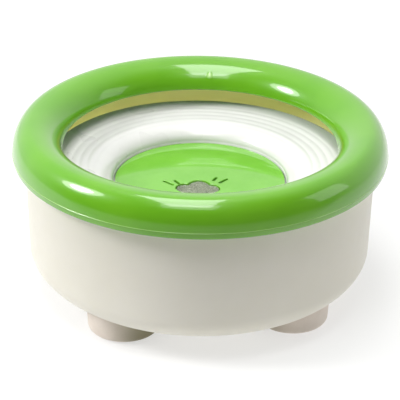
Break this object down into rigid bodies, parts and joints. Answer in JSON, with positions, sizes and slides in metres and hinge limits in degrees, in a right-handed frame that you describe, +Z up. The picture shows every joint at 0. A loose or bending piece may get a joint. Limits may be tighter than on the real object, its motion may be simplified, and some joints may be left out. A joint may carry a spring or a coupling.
{
  "type": "floating-disc no-spill pet water bowl",
  "caption": "Round no-spill pet water bowl on stub feet, with a fat snap-over splash ring and a floating deck whose centre inlet cap carries a filter cup.",
  "frame": {"origin": "centre of the circle that the four foot pads stand on, at the resting plane", "axes": "+Z up along the bowl's axis, -Y towards the front between the two front feet, +X to the right seen from the front"},
  "size_m": [0.21, 0.21, 0.1018],
  "materials": {
    "bowl": "satin moulded polypropylene",
    "foot": "matt soft-touch elastomer",
    "foot_pad": "matt anti-slip rubber",
    "fastener": "plain stainless steel",
    "ring": "high-gloss moulded plastic",
    "silicone": "translucent silicone",
    "float": "wet gloss moulded plastic",
    "cap": "high-gloss moulded plastic",
    "screen": "fine woven stainless mesh",
    "filter_plastic": "satin moulded plastic",
    "foam": "open-cell filter foam"
  },
  "bodies": {
    "bowl": {"bowl_shell": "bowl", "foot_front_left": "foot", "foot_front_right": "foot", "foot_rear_right": "foot", "foot_rear_left": "foot", "foot_pad_front_left": "foot_pad", "foot_pad_front_right": "foot_pad", "foot_pad_rear_right": "foot_pad", "foot_pad_rear_left": "foot_pad", "foot_screw_front_left": "fastener", "foot_screw_front_right": "fastener", "foot_screw_rear_right": "fastener", "foot_screw_rear_left": "fastener"},
    "splash_ring": {"ring_top_shell": "ring", "ring_base": "ring", "ring_gasket": "silicone"},
    "float": {"float_deck": "float", "float_hull": "float", "float_seal_outer": "silicone", "float_seal_inner": "silicone"},
    "cartridge": {"inlet_cap": "cap", "mesh_screen": "screen", "screen_ring": "filter_plastic"},
    "filter_basket": {"filter_cup": "filter_plastic", "filter_pad": "foam"}
  },
  "joints": [
    {"name": "ring_lift", "type": "slide", "parent": "bowl", "child": "splash_ring", "axis": [0, 0, 1], "range_m": [0, 0.06]},
    {"name": "float_rise", "type": "slide", "parent": "bowl", "child": "float", "axis": [0, 0, 1], "range_m": [-0.034, 0.01], "stiffness_N_per_m": 163, "springref_m": 0.009},
    {"name": "cartridge_lift", "type": "slide", "parent": "float", "child": "cartridge", "axis": [0, 0, 1], "range_m": [0, 0.07]},
    {"name": "cup_twist", "type": "hinge", "parent": "cartridge", "child": "filter_basket", "pos_m": [0, 0, 0.055], "axis": [0, 0, 1], "range_deg": [0, 60]}
  ]
}
